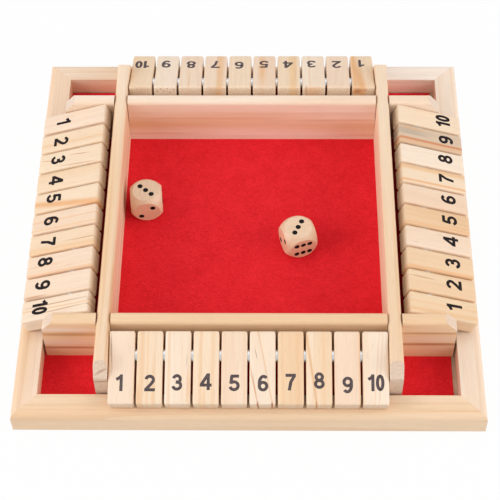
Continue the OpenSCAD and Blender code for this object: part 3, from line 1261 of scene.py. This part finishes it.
@dataclass
class TileRows:
    """Forty sanded blocks, each with a bore for its rod and a printed number."""

    width: float = 11.8 * MM
    length: float = 34.4 * MM
    thickness: float = 8.6 * MM
    # Distance from the middle of the bore to the inner end.
    heel: float = 10.9 * MM
    # Radius of the CAD tile's edges, and its gap from the rail at rest.
    edge: float = 0.7 * MM
    rest_gap: float = 0.05 * MM
    # Radius of the sanded edges, and what wear takes off it at most.
    ease: float = 0.95 * MM
    wear_depth: float = 0.14 * MM
    wear_width: float = 5 * MM
    bore: float = 1.48 * MM
    bore_sides: int = 24
    # Vertices along the width, the length and the thickness.
    rows: tuple[int, int, int] = (12, 16, 12)
    crease: float = math.radians(40)
    # Distance from the outer end to the foot of the number, and how far a number wanders
    # to the right and outwards, in millimetres.
    number_foot: float = 6.4 * MM
    wander: tuple[float, float] = (0.3, 0.4)
    pine: PineFinish = PineFinish(end="#E3C6A8", soak=0.65, canals=0.14, fibre=0.45 * MM)
    # The front and back rows' ink: black ink painted dark grey, a painted sheen.
    grey_ink: InkFinish = InkFinish("#544849", "#6B5F60")
    black_ink: InkFinish = InkFinish("#1C1617", "#352B2C")
    grey_printer: FigurePrinter = field(default_factory=FigurePrinter)
    black_printer: FigurePrinter = field(
        default_factory=lambda: FigurePrinter(height=7.9 * MM, pen=1.56 * MM, breadth=1.1)
    )

    @property
    def tilt(self) -> float:
        """The angle at which a tile rests with its lower outer edge on the rail.

        Returns:
            The angle in radians.
        """
        run = self.length - self.heel - self.edge
        drop = self.thickness / 2 - self.edge
        fall = ROD_HEIGHT - RAIL_HEIGHT - self.edge - self.rest_gap
        return math.asin(fall / math.hypot(run, drop)) - math.atan2(drop, run)

    def tile_frame(self, side: Side, number: int) -> Matrix:
        """A tile's own frame at rest: X along the bore, Y towards the middle of the board.

        Args:
            side: The side of the board.
            number: The tile's number.

        Returns:
            The frame.
        """
        across = (number - (TILE_COUNT + 1) / 2) * PITCH
        return (
            side.turn
            @ Matrix.Translation((across, -ROD_REACH, ROD_HEIGHT))
            @ Matrix.Rotation(self.tilt, 4, "X")
        )

    def recipe(self) -> Recipe:
        """The tree that makes a sanded block with a bore, centred on its bore.

        Returns:
            The recipe.
        """
        recipe = Recipe(
            "sanded_block",
            {
                "Width": self.width,
                "Length": self.length,
                "Thickness": self.thickness,
                "Ease": self.ease,
                "Bore": self.bore,
                "Middle": self.heel - self.length / 2,
                "Wear": self.wear_depth,
                "Seed": 0,
            },
        )
        put = recipe.add
        size = put("ShaderNodeCombineXYZ", {"X": "Width", "Y": "Length", "Z": "Thickness"})
        half = put("ShaderNodeVectorMath", {0: size, "Scale": 0.5}, operation="SCALE")
        rows = {f"Vertices {axis}": count for axis, count in zip("XYZ", self.rows)}
        cube = put("GeometryNodeMeshCube", {"Size": (2.0, 2.0, 2.0), **rows})
        # Rows crowd towards the edges: place u of a row goes to sin(u 90 degrees).
        place = put("GeometryNodeInputPosition")
        quarter = put("ShaderNodeVectorMath", {0: place, "Scale": math.pi / 2}, operation="SCALE")
        crowd = put("ShaderNodeVectorMath", {0: quarter}, operation="SINE")
        full = put("ShaderNodeVectorMath", {0: crowd, 1: half}, operation="MULTIPLY")
        # Rounding: the nearest point of the inner box, then out by the radius.
        margin = put("ShaderNodeCombineXYZ", {"X": "Ease", "Y": "Ease", "Z": "Ease"})
        inner = put("ShaderNodeVectorMath", {0: half, 1: margin}, operation="SUBTRACT")
        minus = put("ShaderNodeVectorMath", {0: inner, "Scale": -1.0}, operation="SCALE")
        capped = put("ShaderNodeVectorMath", {0: inner, 1: full}, operation="MINIMUM")
        core = put("ShaderNodeVectorMath", {0: minus, 1: capped}, operation="MAXIMUM")
        out = put("ShaderNodeVectorMath", {0: full, 1: core}, operation="SUBTRACT")
        away = put("ShaderNodeVectorMath", {0: out}, operation="NORMALIZE")
        # Sanding takes a little more off where the skin turns an edge, here and there.
        spread = put("ShaderNodeVectorMath", {0: out}, operation="LENGTH")
        most = put("ShaderNodeMath", {0: "Ease", 1: 1.35}, operation="MULTIPLY")
        edge = put("ShaderNodeMapRange", {0: spread, 1: "Ease", 2: most})
        seeds = put("ShaderNodeCombineXYZ", {"X": "Seed", "Y": "Seed", "Z": "Seed"})
        moved = put("ShaderNodeVectorMath", {0: full, 1: seeds})
        rough = put("ShaderNodeTexNoise", {"Vector": moved, "Scale": 1 / self.wear_width})
        share = put("ShaderNodeMath", {0: rough, 1: edge}, operation="MULTIPLY")
        taken = put("ShaderNodeMath", {0: share, 1: "Wear"}, operation="MULTIPLY")
        radius = put("ShaderNodeMath", {0: "Ease", 1: taken}, operation="SUBTRACT")
        reach = put("ShaderNodeVectorMath", {0: away, "Scale": radius}, operation="SCALE")
        skin = put("ShaderNodeVectorMath", {0: core, 1: reach})
        shift = put("ShaderNodeCombineXYZ", {"Y": "Middle"})
        block = put("GeometryNodeSetPosition", {"Geometry": cube, "Position": skin, "Offset": shift})
        # The drill is a fifth longer than the tile is wide.
        through = put("ShaderNodeMath", {0: "Width", 1: 1.2}, operation="MULTIPLY")
        drill = put(
            "GeometryNodeMeshCylinder",
            {"Vertices": self.bore_sides, "Radius": "Bore", "Depth": through},
        )
        laid = put("GeometryNodeTransform", {"Geometry": drill, "Rotation": (0.0, math.pi / 2, 0.0)})
        bored = put(
            "GeometryNodeMeshBoolean", {0: block, 1: laid}, operation="DIFFERENCE", solver="EXACT"
        )
        recipe.close(bored)
        return recipe

    def timber(self, side: Side, number: int, place: Matrix) -> bpy.types.Material:
        """The pine of one tile: each was cut from another place in the plank.

        Args:
            side: The side of the board.
            number: The tile's number.
            place: The tile's own frame.

        Returns:
            The material.
        """
        seed = side.value * 100 + number
        dice = random.Random(seed)
        early, warm, late = Timber[TIMBERS[side].split()[number - 1]].value
        finish = replace(
            self.pine,
            early=early,
            warm=warm,
            late=late,
            ring=dice.uniform(2.2, 4.5) * MM,
            contrast=dice.uniform(0.1, 0.3),
            slope=dice.uniform(0.5, 4),
            marks=MARKS.get((side, number), ()),
        )
        outwards = place @ Matrix.Rotation(-math.pi / 2, 4, "Z")
        return finish.material(f"sanded_pine_{side.label}_tile_{number}", outwards, seed)

    def build(self) -> None:
        """Builds every tile and prints its number."""
        recipe = self.recipe()
        sheen_painted_set = (self.grey_printer, self.grey_ink.material("grey_printed_ink"))
        black_set = (self.black_printer, self.black_ink.material("black_printed_ink"))
        for side in Side:
            # The front and back rows get the ink with painted sheen in its colour.
            printer, ink = sheen_painted_set if side in (Side.FRONT, Side.BACK) else black_set
            for number in range(1, TILE_COUNT + 1):
                node = f"{side.label}_tile_{number}"
                place = self.tile_frame(side, number)
                pine = self.timber(side, number, place)
                mesh = recipe.run(pine, Seed=side.value + number)
                mesh.transform(place)
                mesh.set_sharp_from_angle(angle=self.crease)
                tile = new_object(f"{node}_block", mesh, pine)
                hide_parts(node)
                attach(tile, node)
                report(tile, "sanded pine tile")
                film = printer.draw(str(number), ink)
                film.transform(place @ self.stamp(side, number))
                figure = new_object(f"{node}_figure", film, ink)
                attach(figure, node)
                report(figure, "printed number")

    def stamp(self, side: Side, number: int) -> Matrix:
        """Where a number is stamped, in its tile's own frame.

        Args:
            side: The side of the board.
            number: The number.

        Returns:
            The place of the middle of the number's foot.
        """
        dice = random.Random(side.value * 7 + number)
        wandered = tuple(dice.uniform(-most, most) for most in self.wander)
        across, out = STRAYS.get((side, number), wandered)
        right, outward, drift = PRINTING[side]
        outward += drift * (number - (TILE_COUNT + 1) / 2) + out
        foot = self.heel - self.length + self.number_foot - outward * MM
        return Matrix.Translation(((right + across) * MM, foot, self.thickness / 2))


# ---- Dice ----


@dataclass
class Die:
    """A tumbled cube with dished, inked pips."""

    name: str
    at: tuple[float, float]
    turn: float
    seed: int
    width: float = 15.8 * MM
    felt_top: float = 3.1 * MM
    pip_pitch: float = 3.0 * MM
    pip_radius: float = 1.3 * MM
    pip_depth: float = 0.4 * MM
    pip_sides: int = 24
    film: float = 0.04 * MM
    birch: BirchFinish = BirchFinish()

    # The turn that brings each face up from the top, and its pips in steps of the pitch.
    FACES = (
        ((0, 0), ((-0.9, -0.9), (0, 0), (0.9, 0.9))),
        ((180, 0), ((-1, -1), (-1, 1), (1, -1), (1, 1))),
        ((90, 0), ((-1.1, -1), (0, -1), (1.1, -1), (-1.1, 1), (0, 1), (1.1, 1))),
        ((-90, 0), ((0, 0),)),
        ((0, -90), ((-1, 1), (1, -1))),
        ((0, 90), ((-1, -1), (-1, 1), (0, 0), (1, -1), (1, 1))),
    )

    def place(self) -> Matrix:
        """The die's own frame, with its middle at the origin."""
        middle = Vector((*self.at, self.felt_top + self.width / 2))
        return Matrix.Translation(middle) @ Matrix.Rotation(math.radians(self.turn), 4, "Z")

    def pip_points(self) -> bpy.types.Mesh:
        """One loose point for each pip, with its face's turn kept beside it.

        Returns:
            The points, in the die's own frame.
        """
        spots, turns = [], []
        for (about_x, about_y), pips in self.FACES:
            turn = Euler((math.radians(about_x), math.radians(about_y), 0))
            for x, y in pips:
                spot = Vector((x * self.pip_pitch, y * self.pip_pitch, self.width / 2))
                spot.rotate(turn)
                spots.append(spot)
                turns.append(turn)
        mesh = bpy.data.meshes.new(f"{self.name}_pip_points")
        mesh.from_pydata(spots, [], [])
        kept = mesh.attributes.new("turn", "FLOAT_VECTOR", "POINT")
        for at, turn in enumerate(turns):
            kept.data[at].vector = turn
        return mesh

    def recipe(self) -> Recipe:
        """The tree that puts a dished drop of ink at each point.

        Returns:
            The recipe.
        """
        recipe = Recipe(
            "pip_ink", {"Radius": self.pip_radius, "Depth": self.pip_depth, "Film": self.film}
        )
        put = recipe.add
        disc = put(
            "GeometryNodeMeshCircle",
            {"Vertices": self.pip_sides, "Radius": "Radius"},
            fill_type="TRIANGLE_FAN",
        )
        fine = put("GeometryNodeSubdivideMesh", {"Mesh": disc, "Level": 2})
        # The dish is a paraboloid, and a little more than half of the film stands above it.
        place = put("GeometryNodeInputPosition")
        out = put("ShaderNodeVectorMath", {0: place}, operation="LENGTH")
        share = put("ShaderNodeMath", {0: out, 1: "Radius"}, operation="DIVIDE")
        squared = put("ShaderNodeMath", {0: share, 1: share}, operation="MULTIPLY")
        dish = put("ShaderNodeMath", {0: squared, 1: 1.0}, operation="SUBTRACT")
        down = put("ShaderNodeMath", {0: dish, 1: "Depth"}, operation="MULTIPLY")
        proud = put("ShaderNodeMath", {0: "Film", 1: 0.6}, operation="MULTIPLY")
        height = put("ShaderNodeMath", {0: down, 1: proud}, operation="ADD")
        lift = put("ShaderNodeCombineXYZ", {"Z": height})
        bowl = put("GeometryNodeSetPosition", {"Geometry": fine, "Offset": lift})
        drop = recipe.wall(bowl, "Film")
        turn = put("GeometryNodeInputNamedAttribute", {"Name": "turn"}, data_type="FLOAT_VECTOR")
        drops = put(
            "GeometryNodeInstanceOnPoints", {"Points": "Geometry", "Instance": drop, "Rotation": turn}
        )
        recipe.close(drops)
        return recipe

    def build(self, ink: bpy.types.Material) -> None:
        """Dresses the die and inks its pips.

        Args:
            ink: The pips' finish.
        """
        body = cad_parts[self.name]
        wear(self.birch.material(f"tumbled_birch_{self.name}", self.place(), self.seed), body)
        report(body, "tumbled birch die")
        mesh = self.recipe().run(ink, self.pip_points())
        mesh.transform(self.place())
        pips = new_object(f"{self.name}_pips", mesh, ink)
        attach(pips, self.name)
        report(pips, "inked pips")


# ---- Studio ----


@dataclass
class Studio:
    """A white floor and sky, a broad overhead lamp, a lamp at each side and the camera."""

    # The camera's place, its turns in degrees, and its lens and sensor in millimetres.
    camera_at: tuple[float, float, float] = (10.67 * MM, -444.43 * MM, 604.3 * MM)
    pitch: float = 54.0
    yaw: float = -1.45
    roll: float = -1.07
    lens: float = 107.0
    sensor: float = 36.0
    clip: tuple[float, float] = (0.05, 50.0)
    floor_width: float = 12.0
    paper: float = 0.78
    paper_glow: float = 0.96
    sky: float = 0.63
    key: tuple[float, float, float] = (-0.2, 0.6, 1.5)
    key_power: float = 2.4
    key_size: float = 1.5
    side: tuple[float, float, float] = (1.2, -0.35, 0.62)
    left_power: float = 9.8
    right_power: float = 8.8
    side_size: float = 1.1

    def build(self) -> None:
        """Builds the floor, the sky, the lamps and the camera."""
        self.floor()
        self.world()
        x, y, z = self.side
        self.lamp("overhead_softbox", self.key, self.key_power, self.key_size)
        self.lamp("left_softbox", (-x, y, z), self.left_power, self.side_size)
        self.lamp("right_softbox", (x, y, z), self.right_power, self.side_size)
        self.camera()

    def seen_directly(self, put: Callable) -> bpy.types.Node:
        """Tells the rays that show the floor or the sky itself from those that light.

        Args:
            put: Adds a node to the tree.

        Returns:
            The node that gives one for rays from the camera, a mirror or a glass, else nothing.
        """
        path = put("ShaderNodeLightPath").outputs
        either = {0: path["Is Camera Ray"], 1: path["Is Glossy Ray"]}
        first = put("ShaderNodeMath", either, operation="MAXIMUM")
        return put(
            "ShaderNodeMath", {0: first, 1: path["Is Transmission Ray"]}, operation="MAXIMUM"
        )

    def floor(self) -> None:
        """Lays a floor that looks white and keeps a faint shadow."""
        mesh = bpy.data.meshes.new("studio_floor")
        half = self.floor_width / 2
        corners = [(-half, -half, 0), (half, -half, 0), (half, half, 0), (-half, half, 0)]
        mesh.from_pydata(corners, [], [(0, 1, 2, 3)])
        material, put, paper = new_material("white_studio_paper")
        fill(paper, {"Base Color": grey(self.paper), "Roughness": 0.9, "Specular IOR Level": 0.0})
        glow = put("ShaderNodeEmission", {"Strength": 1.0})
        partly = put("ShaderNodeMixShader", {0: self.paper_glow, 1: paper, 2: glow})
        seen = put("ShaderNodeMixShader", {0: self.seen_directly(put), 1: paper, 2: partly})
        fill(material.node_tree.nodes["Material Output"], {"Surface": seen})
        new_object("studio_floor", mesh, material)

    def world(self) -> None:
        """Makes an even pale sky that looks white."""
        world = bpy.data.worlds.new("studio_sky")
        bpy.context.scene.world = world
        world.use_nodes = True
        put = partial(add, world.node_tree)
        level = put("ShaderNodeMapRange", {0: self.seen_directly(put), 3: self.sky, 4: 1.0})
        fill(world.node_tree.nodes["Background"], {"Strength": level, "Color": grey(1.0)})

    def lamp(self, name: str, at: tuple[float, float, float], power: float, size: float) -> None:
        """Hangs a soft round lamp that faces the board.

        Args:
            name: The lamp's name.
            at: Its place.
            power: Its power in watts.
            size: Its width.
        """
        data = bpy.data.lights.new(name, "AREA")
        data.shape, data.size, data.energy = "DISK", size, power
        lamp = bpy.data.objects.new(name, data)
        lamp.location = Vector(at)
        lamp.rotation_euler = (-lamp.location).to_track_quat("-Z", "Y").to_euler()
        bpy.context.scene.collection.objects.link(lamp)

    def camera(self) -> None:
        """Sets the camera."""
        pitch, yaw, roll = (math.radians(a) for a in (self.pitch, self.yaw, self.roll))
        ahead = Vector(
            (math.sin(yaw) * math.cos(pitch), math.cos(yaw) * math.cos(pitch), -math.sin(pitch))
        )
        right = Vector((math.cos(yaw), -math.sin(yaw), 0))
        up = right.cross(ahead)
        across = math.cos(roll) * right + math.sin(roll) * up
        upward = -math.sin(roll) * right + math.cos(roll) * up
        data = bpy.data.cameras.new("camera")
        data.lens, data.sensor_width = self.lens, self.sensor
        data.clip_start, data.clip_end = self.clip
        camera = bpy.data.objects.new("camera", data)
        turn = Matrix((across, upward, -ahead)).transposed().to_4x4()
        camera.matrix_world = Matrix.Translation(self.camera_at) @ turn
        bpy.context.scene.collection.objects.link(camera)
        bpy.context.scene.camera = camera


def main() -> None:
    """Builds the board from the tray up."""
    logging.basicConfig(level=logging.INFO, format="%(message)s")
    bpy.context.scene.view_settings.view_transform = "Standard"
    Studio().build()
    Tray().dress()
    FeltLining().build()
    Hinges().build()
    TileRows().build()
    ink = InkFinish("#141113", "#221D20", roughness=0.4).material("black_pip_ink")
    Die("left_die", (-52.9 * MM, 17.8 * MM), 95, seed=5).build(ink)
    Die("right_die", (23.5 * MM, -5.2 * MM), 19, seed=6).build(ink)


if __name__ == "__main__":
    main()
